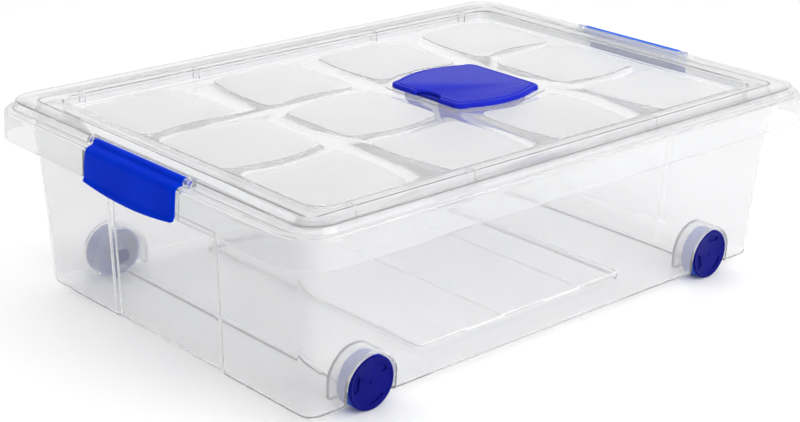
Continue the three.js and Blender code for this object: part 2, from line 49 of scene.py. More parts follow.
ENDS = {"left": -1, "right": 1}
SIDES = {"front": -1, "back": 1}
SIDE_STOPS = (-0.1, 0.1)  # extra points along the long sides, which keep the faces there short
LID_END_STOPS = (-0.05, 0.05)

# ---------------------------------------------------------------- places from the frame

body_low, body_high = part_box("box_body")
cap_low, cap_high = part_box("compartment_cap")
tray_low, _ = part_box("scent_tray")
wheel_low, wheel_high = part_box("wheel_right_front")
latch_low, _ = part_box("latch_right")

RIM_X = body_high[0]
RIM_Y = body_high[1]
RIM_TOP = body_high[2]
FOOT = body_low[2]
WHEEL_X = (wheel_low[0] + wheel_high[0]) / 2
WHEEL_RADIUS = (wheel_high[2] - wheel_low[2]) / 2
WHEEL_WIDTH = wheel_high[1] - wheel_low[1]
WHEEL_FACE_Y = -wheel_low[1]
CAP_X = (cap_low[0] + cap_high[0]) / 2
CAP_HALF_X = (cap_high[0] - cap_low[0]) / 2
CAP_TOP = cap_high[2]
TRAY_BOTTOM = tray_low[2]
LATCH_BOTTOM = latch_low[2]

# ---------------------------------------------------------------- sizes of the box body

WALL = 2 * MM
GAP = 0.3 * MM
FINE = 0.8 * MM
BITE = 1 * MM  # how far joined pieces run into each other, and cutters run past a face
TINY = 0.01 * MM

RIM_CORNER = 38.4 * MM
RIM_ROUND = 4 * MM
RIM_FILLET = 2 * MM
RIM_MOUTH = 1.2 * MM
SKIRT_DRAFT = 1 * MM
SKIRT_BOTTOM = RIM_TOP - 24.1 * MM
SKIRT_LIP = 0.9 * MM
SKIRT_LIP_INSET = 0.1 * MM
SKIRT_BEAD_TOP = 2.2 * MM
SKIRT_BEAD_INSET = 0.45 * MM

BODY_X = RIM_X - 33.8 * MM
BODY_Y = RIM_Y - 34 * MM
BODY_CORNER = 13 * MM
LEAST_CORNER = 4 * MM
BODY_DRAFT = 0.0545
FOOT_ROUND = 4 * MM
FLOOR = FOOT + WALL
RECESS_Y = 74 * MM
RECESS_DEPTH = 2.5 * MM
RECESS_TOP = 128 * MM
RECESS_STEP = 6 * MM
RECESS_FADE = 2 * MM
RECESS_ROWS = (0, 0.4, 1, 1.6, 2)  # mm above the recess's top
RECESS_STOPS = (0, 0.08, 0.25, 0.75, 0.92, 1)  # shares of the recess's step
LATCH_STEP = 1.5 * MM
LATCH_RECESS_Y = 62 * MM
LATCH_RECESS_DEPTH = 1.6 * MM
LATCH_RECESS_EDGE = 6 * MM

FLOOR_PADS = [-94 * MM, 0, 94 * MM]
FLOOR_PAD_X = 28 * MM
FLOOR_PAD_RISE = 1 * MM
PLATEAU_X = 122 * MM
PLATEAU_Y = 141 * MM
PLATEAU_RISE = 5 * MM
RIB_HALF = 3 * MM
RIB_RISE = 2 * MM
BLOCK_EDGE = 1.2 * MM
BLOCK_CORNER = 5 * MM

WELL_RADIUS = 24.6 * MM
WELL_BACK_Y = 155.8 * MM
BOSS_RADIUS = 6 * MM
BOSS_LENGTH = 4.6 * MM
AXLE_HOLE = 3.3 * MM

# ---------------------------------------------------------------- sizes of the lid

LID_TOP = 173 * MM
LID_X = 291 * MM
LID_Y = 202.6 * MM
LID_CORNER = 28 * MM
LID_BEND = 1.5 * MM
LID_EDGE = 0.5 * MM
BEVEL_X = 4 * MM
BEVEL_Y = 1.6 * MM
SHOULDER_X = 0.6
SHOULDER_Y = 0.9
PANEL_X = 254 * MM
PANEL_Y = 168.8 * MM
PANEL_CORNER = 14 * MM
PANEL_TOP = 163.8 * MM
LIP_X = 271.5 * MM
LIP_Y = 181.3 * MM
LIP_CORNER = 10 * MM
LIP_BOTTOM = 158 * MM
LIP_DRAFT = 0.4 * MM
GUSSETS = (-227 * MM, -107 * MM, 107 * MM, 227 * MM)
GUSSET_HALF = 0.8 * MM

PAD_COLUMNS = [-243 * MM, -127 * MM, 0, 127 * MM, 243 * MM]
PAD_GAP = 12.5 * MM
PAD_FLARE = [0, 9 * MM, 3.5 * MM, 9 * MM, 0]
PAD_MID_Y = 45 * MM
PAD_MID_BOW = 5.5 * MM
PAD_SIDE_BOW = 2.5 * MM
PAD_START_Y = 62 * MM
PAD_END_Y = 158 * MM
PAD_CORNER = 15 * MM
PAD_RISE = 1.2 * MM
PAD_EDGE = 1.2 * MM
PAD_EDGE_INSET = 0.3 * MM
PAD_EDGE_DROP = 0.9
CAP_COLUMN = 2

# ---------------------------------------------------------------- sizes of the compartment

CAP_HALF_Y = 46 * MM
CAP_BULGE = 9 * MM
CAP_CORNER = 11 * MM
CAP_LEAST_CORNER = 5 * MM
CAP_EDGE = 2 * MM
CAP_PLATE = 2.5 * MM
CAP_HOLLOW = 2.3 * MM
GROOVE = 3.4 * MM
GROOVE_DROP = 0.6 * MM
PLUG_OUTSIDE = 11.6 * MM
PLUG_INSIDE = 13.4 * MM
PLUG_BOTTOM = 160 * MM
NOTCH_X = 9.5 * MM
NOTCH_Y = 15 * MM
NOTCH_MIDDLE = -4 * MM
NOTCH_SOFT = 1.4 * MM
CURB_OUTSIDE = 4.8 * MM
CURB_INSIDE = 0.6 * MM
CURB_EDGE = 0.5 * MM
TRAY_HOLE = 8.4 * MM
TRAY_INSET = 9 * MM
TRAY_WALL = 1.8 * MM
TRAY_BEND = 3 * MM
FLANGE_THICKNESS = 1.7 * MM
FLANGE_INSET = 2.9 * MM
SLOT_COUNT = 5
SLOT_PITCH = 14 * MM
SLOT_HALF_X = 2 * MM
SLOT_HALF_Y = 26 * MM
SLOT_ROUND = 1.9 * MM

# ---------------------------------------------------------------- sizes of the latches

HINGE_X = 288.5 * MM
HINGE_Z = 170.1 * MM
BARREL = 3.3 * MM
PIN_RADIUS = 2 * MM
PIN_END = 65 * MM
CHEEK_START = 60.5 * MM
CHEEK_END = 67 * MM
CHEEK_WALL = 1.4 * MM
CHEEK_RISE = 0.4 * MM
CHEEK_BOTTOM = RIM_TOP + 1.6 * GAP
PLAY = 0.5 * MM
SLOT_BACK = HINGE_X - BARREL - PLAY

LATCH_Y = 59 * MM
LATCH_INNER = RIM_ROUND + GAP + 0.1 * MM
LATCH_PLATE = 1.9 * MM
LATCH_SOFT = 0.9 * MM
LATCH_BOW = 4.6 * MM
LATCH_BOW_HEIGHT = 9 * MM
LATCH_FLARE = 0.018
LATCH_FLARE_HEIGHT = 37 * MM
LATCH_EDGE = RIM_X - LATCH_RECESS_DEPTH
# The latch's lower part in section, in mm out from the skirt and up from its lower edge.
LATCH_FACE = [(2.9, 7.5), (3.0, 6.2), (3.4, 5.2), (4.3, 2.5), (4.7, 0.8), (4.4, 0)]
LATCH_INSIDE = [(1.8, 0), (1.2, 1), (0.9, 5), (0.3, 7)]
CATCH_REACH = 1.6 * MM
CATCH_PAST = 0.5 * MM
CATCH_HALF_Y = 35 * MM
CATCH_TOP = SKIRT_BOTTOM - 0.4 * MM
CATCH_THICKNESS = 2 * MM

# ---------------------------------------------------------------- mesh helpers


def new_object(name, mesh):
    obj = bpy.data.objects.new(name, mesh)
    bpy.context.scene.collection.objects.link(obj)
    return obj


def object_from(name, points, faces):
    """A closed mesh object from points and faces, its faces turned outwards."""
    mesh = bpy.data.meshes.new(name)
    work = bmesh.new()
    verts = [work.verts.new(point) for point in points]
    for face in faces:
        work.faces.new([verts[i] for i in face])
    bmesh.ops.recalc_face_normals(work, faces=work.faces)
    work.to_mesh(mesh)
    work.free()
    return new_object(name, mesh)


def loft(name, rows, ring=False):
    """Joins rows of equal length. A ring closes on itself; otherwise both ends get a flat cap."""
    count = len(rows[0])
    points = [point for row in rows for point in row]
    faces = []
    last = len(rows) if ring else len(rows) - 1
    for r in range(last):
        here = r * count
        after = ((r + 1) % len(rows)) * count
        for i in range(count):
            j = (i + 1) % count
            faces.append((here + i, here + j, after + j, after + i))
    if not ring:
        faces.append(tuple(range(count - 1, -1, -1)))
        faces.append(tuple(range(len(points) - count, len(points))))
    return object_from(name, points, faces)


def apply_modifiers(obj):
    depsgraph = bpy.context.evaluated_depsgraph_get()
    mesh = bpy.data.meshes.new_from_object(obj.evaluated_get(depsgraph))
    obj.modifiers.clear()
    old = obj.data
    obj.data = mesh
    bpy.data.meshes.remove(old)


def remove(obj):
    mesh = obj.data
    bpy.data.objects.remove(obj)
    bpy.data.meshes.remove(mesh)


def merged(name, parts):
    """One object from several that don't touch each other."""
    points, faces = [], []
    for part in parts:
        start = len(points)
        points += [vertex.co.copy() for vertex in part.data.vertices]
        faces += [tuple(start + i for i in polygon.vertices) for polygon in part.data.polygons]
        remove(part)
    return object_from(name, points, faces)


def combine(obj, tools, operation):
    """Joins or cuts obj with tools that don't touch each other."""
    tool = merged("tool", tools)
    modifier = obj.modifiers.new("combine", "BOOLEAN")
    modifier.operation = operation
    modifier.solver = "EXACT"
    modifier.object = tool
    apply_modifiers(obj)
    remove(tool)


def join(obj, tools):
    combine(obj, tools, "UNION")


def cut(obj, tools):
    combine(obj, tools, "DIFFERENCE")


def smooth(obj, angle=32):
    mesh = obj.data
    mesh.polygons.foreach_set("use_smooth", [True] * len(mesh.polygons))
    mesh.set_sharp_from_angle(angle=math.radians(angle))


# ---------------------------------------------------------------- outlines


def rounded_loop(half_x, half_y, radius, end_stops=(), side_stops=(), steps=14):
    """A rectangle with round corners, anticlockwise, with stops along its straight sides."""
    points = []
    for k in range(4):
        turn = k * QUARTER
        c, s = round(math.cos(turn)), round(math.sin(turn))
        half = half_x if k % 2 == 0 else half_y
        stops = end_stops if k % 2 == 0 else side_stops
        points += [(c * half - s * stop, s * half + c * stop) for stop in stops]
        corner_x = (half_x - radius) * (1 if k in (0, 3) else -1)
        corner_y = (half_y - radius) * (1 if k in (0, 1) else -1)
        for i in range(steps + 1):
            angle = turn + QUARTER * i / steps
            x = corner_x + radius * math.cos(angle)
            y = corner_y + radius * math.sin(angle)
            points.append((x, y))
    return points


def arc(steps, start, end):
    """Angles from start to end degrees, both ends included."""
    return [math.radians(start + (end - start) * i / steps) for i in range(steps + 1)]


def soft_loop(corners, bows, radius, steps=8):
    """A four-sided outline with round corners, anticlockwise. Side i may bow outwards."""
    points = []
    corners = [Vector(corner) for corner in corners]
    for i, corner in enumerate(corners):
        before, after = corners[i - 1], corners[(i + 1) % 4]
        start = corner + (before - corner).normalized() * radius
        leave = corner + (after - corner).normalized() * radius
        arrive = after + (corner - after).normalized() * radius
        outward = Vector((after.y - corner.y, corner.x - after.x)).normalized()
        middle = (leave + arrive) / 2 + outward * 2 * bows[i]
        for a, b, c in ((start, corner, leave), (leave, middle, arrive)):
            for k in range(steps):
                t = k / steps
                points.append(a * (1 - t) ** 2 + b * 2 * t * (1 - t) + c * t ** 2)
    return points


def inset_loop(points, inset):
    """The outline moved inwards by the mean normal at each point."""
    moved = []
    count = len(points)
    for i, point in enumerate(points):
        along = Vector(points[(i + 1) % count]) - Vector(points[i - 1])
        inward = Vector((-along.y, along.x)).normalized()
        moved.append(Vector(point) + inward * inset)
    return moved


def raised(points, z):
    return [(point[0], point[1], z) for point in points]


def block(low, high, soft=0.0):
    """A box between two corners, with its upright edges rounded by soft."""
    half_x, half_y = (high[0] - low[0]) / 2, (high[1] - low[1]) / 2
    middle = Vector(((high[0] + low[0]) / 2, (high[1] + low[1]) / 2))
    if soft:
        outline = [Vector(p) + middle for p in rounded_loop(half_x, half_y, soft, steps=4)]
    else:
        corners = ((1, 1), (-1, 1), (-1, -1), (1, -1))
        outline = [middle + Vector((x * half_x, y * half_y)) for x, y in corners]
    return loft("block", [raised(outline, low[2]), raised(outline, high[2])])


def soft_block(x, half_x, half_y, low, high):
    """A block with round upright corners and a softened upper edge."""
    edge = min(BLOCK_EDGE, high - low - 0.2 * MM)
    outline = rounded_loop(half_x, half_y, BLOCK_CORNER, steps=5)
    smaller = rounded_loop(half_x - edge, half_y - edge, BLOCK_CORNER - edge, steps=5)
    rows = [
        raised([(x + a, b) for a, b in outline], low),
        raised([(x + a, b) for a, b in outline], high - edge),
        raised([(x + a, b) for a, b in smaller], high),
    ]
    return loft("soft_block", rows)


def across(outline_xz, *stations):
    """A solid whose outline is drawn in X and Z, running along Y through its stations."""
    return loft("across", [[(x, y, z) for x, z in outline_xz] for y in stations])


def circle(radius, steps=40):
    return [(radius * math.cos(a), radius * math.sin(a)) for a in arc(steps, 0, 360)[:-1]]


def bar(radius, x, z, y_low, y_high, steps=40):
    return across([(x + a, z + b) for a, b in circle(radius, steps)], y_low, y_high)


def on_side(side, near, far):
    return (near, far) if side > 0 else (-far, -near)


# ---------------------------------------------------------------- materials

CLEAR_IOR = 1.3
BLUE_IOR = 1.49
LAMP_PASSES = 0.9


def links_of(material):
    tree = material.node_tree
    return tree.nodes, tree.links


def new_material(name):
    material = bpy.data.materials.new(name)
    material.use_nodes = True
    nodes, _ = links_of(material)
    return material, nodes["Principled BSDF"]


def noise(material, scale, detail=3.0, stretch=(1, 1, 1)):
    """A noise texture over the object's own coordinates, in cycles per metre."""
    nodes, links = links_of(material)
    place = nodes.new("ShaderNodeTexCoord")
    mapping = nodes.new("ShaderNodeMapping")
    mapping.inputs["Scale"].default_value = stretch
    texture = nodes.new("ShaderNodeTexNoise")
    texture.inputs["Scale"].default_value = scale
    texture.inputs["Detail"].default_value = detail
    links.new(place.outputs["Object"], mapping.inputs["Vector"])
    links.new(mapping.outputs["Vector"], texture.inputs["Vector"])
    return texture.outputs["Fac"]


def spread(material, source, low, high):
    """Turns the middle of a noise signal into low to high."""
    nodes, links = links_of(material)
    node = nodes.new("ShaderNodeMapRange")
    node.inputs["From Min"].default_value = 0.3
    node.inputs["From Max"].default_value = 0.7
    node.inputs["To Min"].default_value = low
    node.inputs["To Max"].default_value = high
    links.new(source, node.inputs["Value"])
    return node.outputs["Result"]


def add_bump(material, shader, source, strength, distance):
    nodes, links = links_of(material)
    bump = nodes.new("ShaderNodeBump")
    bump.inputs["Strength"].default_value = strength
    bump.inputs["Distance"].default_value = distance
    links.new(source, bump.inputs["Height"])
    links.new(bump.outputs["Normal"], shader.inputs["Normal"])


def tinted(material, source, dark, light):
    """Colours the middle of a noise signal from dark to light."""
    nodes, links = links_of(material)
    ramp = nodes.new("ShaderNodeValToRGB")
    ramp.color_ramp.elements[0].position = 0.3
    ramp.color_ramp.elements[1].position = 0.7
    ramp.color_ramp.elements[0].color = (*dark, 1)
    ramp.color_ramp.elements[1].color = (*light, 1)
    links.new(source, ramp.inputs["Fac"])
    return ramp.outputs["Color"]


def clear_plastic(name, veil, rough, color):
    """Natural polypropylene: clear with a milky veil. It lets most of the lamps' light through."""
    material, shader = new_material(name)
    nodes, links = links_of(material)
    flow = noise(material, scale=9, detail=4, stretch=(1, 1, 2.5))
    grain = noise(material, scale=900, detail=2)
    shade = [value * 0.97 for value in color]
    links.new(tinted(material, flow, shade, color), shader.inputs["Base Color"])
    links.new(spread(material, grain, rough * 0.8, rough * 1.25), shader.inputs["Roughness"])
    clearness = spread(material, flow, 1 - veil * 1.08, 1 - veil * 0.92)
    links.new(clearness, shader.inputs["Transmission Weight"])
    add_bump(material, shader, flow, strength=0.04, distance=1 * MM)
    shader.inputs["IOR"].default_value = CLEAR_IOR
    light_path = nodes.new("ShaderNodeLightPath")
    window = nodes.new("ShaderNodeBsdfTransparent")
    window.inputs["Color"].default_value = (LAMP_PASSES, LAMP_PASSES, LAMP_PASSES, 1)
    mix = nodes.new("ShaderNodeMixShader")
    links.new(light_path.outputs["Is Shadow Ray"], mix.inputs["Fac"])
    links.new(shader.outputs["BSDF"], mix.inputs[1])
    links.new(window.outputs["BSDF"], mix.inputs[2])
    links.new(mix.outputs["Shader"], nodes["Material Output"].inputs["Surface"])
    return material


def solid_plastic(name, dark, light, rough, gloss, gloss_tint):
    """Moulded coloured plastic with faint flow marks and a fine surface grain."""
    material, shader = new_material(name)
    _, links = links_of(material)
    flow = noise(material, scale=22, detail=4, stretch=(1, 2.2, 1))
    grain = noise(material, scale=1500, detail=2)
    links.new(tinted(material, flow, dark, light), shader.inputs["Base Color"])
    links.new(spread(material, grain, rough * 0.85, rough * 1.2), shader.inputs["Roughness"])
    add_bump(material, shader, grain, strength=0.06, distance=0.15 * MM)
    shader.inputs["IOR"].default_value = BLUE_IOR
    shader.inputs["Specular IOR Level"].default_value = gloss
    shader.inputs["Specular Tint"].default_value = (*gloss_tint, 1)
    return material


def paint(obj, *materials):
    obj.data.materials.clear()
    for material in materials:
        obj.data.materials.append(material)


# ---------------------------------------------------------------- box body


def wall_row(z, inset):
    grow = BODY_DRAFT * (z - FOOT) - inset
    corner = max(BODY_CORNER - inset, LEAST_CORNER)
    return (z, BODY_X + grow, BODY_Y + grow, corner, "wall")


def rim_row(z, inset):
    return (z, RIM_X - inset, RIM_Y - inset, RIM_CORNER - inset, "rim")


def body_rows():
    """The body's section from under its middle, up over the rim and down to the floor's middle."""
    rows = []
    for a in arc(6, 0, 90):
        z = FOOT + FOOT_ROUND * (1 - math.cos(a))
        rows.append(wall_row(z, FOOT_ROUND * (1 - math.sin(a))))
    rows += [wall_row(RECESS_TOP + step * MM, 0) for step in RECESS_ROWS]
    under = RIM_TOP - WALL
    rows.append(wall_row(under - RIM_FILLET, 0))
    foot_inset = RIM_X - wall_row(under, 0)[1]
    for a in arc(4, 0, 90):
        z = under - RIM_FILLET * (1 - math.sin(a))
        rows.append(rim_row(z, foot_inset - RIM_FILLET * (1 - math.cos(a))))
    inner_round = RIM_ROUND - WALL
    inner = SKIRT_DRAFT + WALL
    for a in arc(4, 0, 90):
        z = under - inner_round * (1 - math.cos(a))
        rows.append(rim_row(z, inner + inner_round * (1 - math.sin(a))))
    rows.append(rim_row(SKIRT_BOTTOM + 2 * SKIRT_LIP, WALL + SKIRT_LIP_INSET))
    for a in arc(6, 0, 180):
        z = SKIRT_BOTTOM + SKIRT_LIP * (1 - math.sin(a))
        rows.append(rim_row(z, SKIRT_LIP + SKIRT_LIP_INSET + SKIRT_LIP * math.cos(a)))
    rows.append(rim_row(SKIRT_BOTTOM + SKIRT_BEAD_TOP, SKIRT_BEAD_INSET))
    for a in arc(8, 0, 90):
        z = RIM_TOP - RIM_ROUND * (1 - math.sin(a))
        rows.append(rim_row(z, SKIRT_DRAFT + RIM_ROUND * (1 - math.cos(a))))
    for a in arc(4, 0, 90):
        z = RIM_TOP - RIM_MOUTH * (1 - math.cos(a))
        rows.append(wall_row(z, WALL - RIM_MOUTH * (1 - math.sin(a))))
    rows += [wall_row(RECESS_TOP + step * MM, WALL) for step in reversed(RECESS_ROWS)]
    bend = FOOT_ROUND - WALL / 2
    for a in arc(5, 90, 0):
        z = FLOOR + bend * (1 - math.cos(a))
        rows.append(wall_row(z, WALL + bend * (1 - math.sin(a))))
    return rows


def eased(share):
    """Rises smoothly from 0 to 1."""
    share = min(1, max(0, share))
    return share * share * (3 - 2 * share)


def body_point(x, y, z, kind):
    """Steps the end walls and the rim back over the middle of each end."""
    end = math.copysign(1, x)
    if kind == "wall" and abs(y) < RECESS_Y and abs(x) > BODY_X - FOOT_ROUND:
        down = min(1, max(0, (RECESS_TOP - z) / RECESS_FADE + 1))
        x -= end * RECESS_DEPTH * down * eased((RECESS_Y - abs(y)) / RECESS_STEP)
    if kind == "rim" and abs(y) <= LATCH_RECESS_Y + TINY and abs(x) > BODY_X:
        depth = min(1.0, (abs(x) - BODY_X) / (RIM_X - BODY_X - LATCH_RECESS_EDGE))
        x -= end * LATCH_RECESS_DEPTH * depth
    return (x, y, z)


def body_y_inside(z):
    return BODY_Y + BODY_DRAFT * (z - FOOT) - WALL


def well_outline(x, radius, bottom):
    top = [(x + radius * math.cos(a), WHEEL_RADIUS + radius * math.sin(a)) for a in arc(28, 0, 180)]
    return [(x - radius, bottom), (x + radius, bottom)] + top


def well_shell(x, side):
    low, high = on_side(side, WELL_BACK_Y - WALL, body_y_inside(WHEEL_RADIUS) + 0.5 * MM)
    return across(well_outline(x, WELL_RADIUS + WALL, FLOOR - BITE), low, high)


def well_space(x, side):
    """The wheel's space, with a ring of points where it meets the inside of the wall."""
    stations = (side * WELL_BACK_Y, side * body_y_inside(WHEEL_RADIUS), side * RIM_Y)
    return across(well_outline(x, WELL_RADIUS, -BITE), *stations)


def boss(x, side):
    low, high = on_side(side, WELL_BACK_Y - BITE, WELL_BACK_Y + BOSS_LENGTH)
    return bar(BOSS_RADIUS, x, WHEEL_RADIUS, low, high)


def axle_hole(x, side):
    low, high = on_side(side, WELL_BACK_Y - 2 * WALL, WELL_BACK_Y + 2 * BOSS_LENGTH)
    return bar(AXLE_HOLE, x, WHEEL_RADIUS, low, high)


def at_wheels(make):
    return [make(end * WHEEL_X, side) for end in (-1, 1) for side in (-1, 1)]


def is_highlight_band(center, normal):
    """True on the thin bands where the moulding turns, which get the whiter edge material as a
    painted highlight.
    """
    x, y, z = center
    plateau = FLOOR + PLATEAU_RISE
    if abs(x) < PLATEAU_X + MM and abs(y) < PLATEAU_Y + MM and plateau - MM < z < 2 * plateau:
        return 0.2 < normal.z < 0.95
    if abs(x) > BODY_X - FOOT_ROUND and FOOT + FOOT_ROUND < z < RECESS_TOP:
        share = (RECESS_Y - abs(y)) / RECESS_STEP
        return 0 < share < RECESS_STOPS[2] or RECESS_STOPS[3] < share < 1
    if z < FOOT + 0.5 * FOOT_ROUND and abs(y) > BODY_Y - FOOT_ROUND:
        return normal.z < -0.2
    from_axle = math.hypot(abs(x) - WHEEL_X, z - WHEEL_RADIUS)
    if abs(y) > body_y_inside(WHEEL_RADIUS) and z < WHEEL_RADIUS + WELL_RADIUS:
        return from_axle < WELL_RADIUS + 0.5 * MM and abs(normal.y) < 0.5
    return False


def build_body(material, edge):
    stops = [LATCH_RECESS_Y, LATCH_RECESS_Y + LATCH_STEP]
    stops += [RECESS_Y - RECESS_STEP + RECESS_STEP * share for share in RECESS_STOPS]
    end_stops = [-stop for stop in reversed(stops)] + stops
    rows = []
    for z, half_x, half_y, radius, kind in body_rows():
        outline = rounded_loop(half_x, half_y, radius, end_stops, SIDE_STOPS)
        rows.append([body_point(x, y, z, kind) for x, y in outline])
    body = loft("box_body_skin", rows)

    join(body, at_wheels(well_shell))
    cut(body, at_wheels(well_space))
    join(body, at_wheels(boss))
    cut(body, at_wheels(axle_hole))
    plateau = FLOOR + PLATEAU_RISE
    join(body, [soft_block(0, PLATEAU_X, PLATEAU_Y, FLOOR - BITE, plateau)])
    join(body, [
        soft_block(x, FLOOR_PAD_X, PLATEAU_Y - GAP, plateau - BITE, plateau + FLOOR_PAD_RISE)
        for x in FLOOR_PADS
    ])
    cut(body, [soft_block(0, PLATEAU_X - WALL, PLATEAU_Y - WALL, FOOT - BITE, plateau - WALL)])
    rib_end = WELL_BACK_Y - BITE
    join(body, [
        block((x - RIB_HALF, -rib_end, FLOOR - BITE), (x + RIB_HALF, rib_end, FLOOR + RIB_RISE))
        for x in (-WHEEL_X, WHEEL_X)
    ])
    smooth(body)
    paint(body, material, edge)
    # The whiter edge material on these bands paints highlight lines.
    for polygon in body.data.polygons:
        if is_highlight_band(polygon.center, polygon.normal):
            polygon.material_index = 1
    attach(body, "box")
    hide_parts("box_body")


# ---------------------------------------------------------------- lid


def lid_row(z, inset_x, inset_y):
    return (z, LID_X - inset_x, LID_Y - inset_y, LID_CORNER - (inset_x + inset_y) / 2)


def panel_row(z, grow):
    return (z, PANEL_X + grow, PANEL_Y + grow, PANEL_CORNER + grow)


def lip_row(z, inset):
    return (z, LIP_X - inset, LIP_Y - inset, LIP_CORNER - inset)


def lid_rows():
    """The lid's section from its panel's middle, over the border, to the middle underneath."""
    rows = []
    for a in arc(4, 0, 90):
        z = PANEL_TOP + LID_BEND * (1 - math.cos(a))
        rows.append(panel_row(z, -LID_BEND * (1 - math.sin(a))))
    for a in arc(4, 0, 90):
        z = LID_TOP - LID_BEND * (1 - math.sin(a))
        rows.append(panel_row(z, LID_BEND * (1 - math.cos(a))))
    bottom = RIM_TOP + GAP
    height = LID_TOP - bottom
    for a in arc(5, 90, 0):
        z = LID_TOP - LID_BEND * (1 - math.sin(a))
        share = (z - bottom) / height
        turn = LID_BEND * (1 - math.cos(a))
        in_x, in_y = BEVEL_X * share + turn * SHOULDER_X, BEVEL_Y * share + turn * SHOULDER_Y
        rows.append(lid_row(z, in_x, in_y))
    edge = LID_EDGE
    rows += [lid_row(bottom + edge, 0, 0), lid_row(bottom, edge, edge)]
    rows += [lid_row(bottom, WALL - edge, WALL - edge), lid_row(bottom + edge, WALL, WALL)]
    under = LID_TOP - WALL
    in_x, in_y = WALL + BEVEL_X * 0.5, WALL + BEVEL_Y * 0.5
    rows += [lid_row(under - MM, in_x, in_y), lid_row(under, in_x + MM, in_y + MM)]
    rows += [lip_row(under, 0), lip_row(LIP_BOTTOM + edge, LIP_DRAFT)]
    rows += [lip_row(LIP_BOTTOM, LIP_DRAFT + edge), lip_row(LIP_BOTTOM, WALL - edge)]
    rows += [lip_row(LIP_BOTTOM + edge, WALL), lip_row(under, WALL)]
    for a in arc(3, 90, 0):
        z = under - LID_BEND * (1 - math.sin(a))
        rows.append(panel_row(z, WALL + LID_BEND * (1 - math.cos(a))))
    for a in arc(4, 90, 0):
        z = PANEL_TOP - WALL + LID_BEND * (1 - math.cos(a))
        rows.append(panel_row(z, WALL - LID_BEND * (1 - math.sin(a))))
    return rows


def pad_outline(column, row):
    """Row 0 is the middle row, -1 the front row and 1 the back row."""
    last = len(PAD_COLUMNS) - 2
    low = PAD_COLUMNS[column] + (PAD_GAP if column > 0 else 0)
    high = PAD_COLUMNS[column + 1] - (PAD_GAP if column < last else 0)
    if row == 0:
        corners = [(low, -PAD_MID_Y), (high, -PAD_MID_Y), (high, PAD_MID_Y), (low, PAD_MID_Y)]
        return soft_loop(corners, [PAD_MID_BOW, 0, PAD_MID_BOW, 0], PAD_CORNER)
    outer_low = low + PAD_FLARE[column]
    outer_high = high - PAD_FLARE[column + 1]
    bow_low = PAD_SIDE_BOW if column > 0 else 0
    bow_high = PAD_SIDE_BOW if column < last else 0
    corners = [
        (outer_low, -PAD_END_Y), (outer_high, -PAD_END_Y),
        (high, -PAD_START_Y), (low, -PAD_START_Y),
    ]
    outline = soft_loop(corners, [0, bow_high, -PAD_MID_BOW, bow_low], PAD_CORNER)
    if row > 0:
        outline = [Vector((point.x, -point.y)) for point in reversed(outline)]
    return outline


def pad(column, row):
    outline = pad_outline(column, row)
    rows = [raised(outline, PANEL_TOP - 0.5 * MM), raised(outline, PANEL_TOP)]
    for a in arc(5, 0, 90):
        inset = PAD_EDGE_INSET + PAD_EDGE * (1 - math.cos(a))
        z = PANEL_TOP + PAD_RISE - PAD_EDGE_DROP * PAD_EDGE * (1 - math.sin(a))
        rows.append(raised(inset_loop(outline, inset), z))
    return loft("pad", rows)


def curb():
    """The low raised frame round the cap."""
    top = PANEL_TOP + PAD_RISE
    low = PANEL_TOP - CURB_EDGE
    outer, inner = cap_loop(-CURB_OUTSIDE), cap_loop(-CURB_INSIDE)
    return loft("curb", [
        raised(outer, low),
        raised(outer, top - 2 * CURB_EDGE),
        raised(cap_loop(-CURB_OUTSIDE + CURB_EDGE), top - CURB_EDGE),
        raised(cap_loop(-CURB_OUTSIDE + 2 * CURB_EDGE), top - CURB_EDGE),
        raised(inner, top - CURB_EDGE),
        raised(inner, low),
    ], ring=True)


def gusset(x, side):
    """A thin web between the panel's step and the locating lip, hidden under the border."""
    low, high = on_side(side, PANEL_Y + MM, LIP_Y - MM)
    return block((x - GUSSET_HALF, low, PANEL_TOP - MM), (x + GUSSET_HALF, high, LID_TOP - MM))


def latch_slot(end):
    """The space that the latch's barrel turns in."""
    x = sorted((end * SLOT_BACK, end * RIM_X))
    y = CHEEK_START + PLAY
    return block((x[0], -y, RIM_TOP - BITE), (x[1], y, LID_TOP + BITE))


def latch_slot_wall(end):
    x = sorted((end * (SLOT_BACK - WALL), end * (SLOT_BACK + 0.1 * MM)))
    y = CHEEK_END - BITE
    return block((x[0], -y, RIM_TOP + 2 * GAP), (x[1], y, LID_TOP - BITE))


def cheek(end, side):
    """A clear block beside the latch that holds the end of its pin, rounded over the pin."""
    low, high = on_side(side, CHEEK_START, CHEEK_END)
    reach = PIN_RADIUS + CHEEK_WALL
    top = LID_TOP + CHEEK_RISE
    back = end * (SLOT_BACK - BITE)
    outline = [(back, CHEEK_BOTTOM), (end * (HINGE_X + reach), CHEEK_BOTTOM)]
    for a in arc(8, 0, 90):
        outline.append((end * (HINGE_X + reach * math.cos(a)), top - reach + reach * math.sin(a)))
    outline.append((back, top))
    return across(outline, low, high)


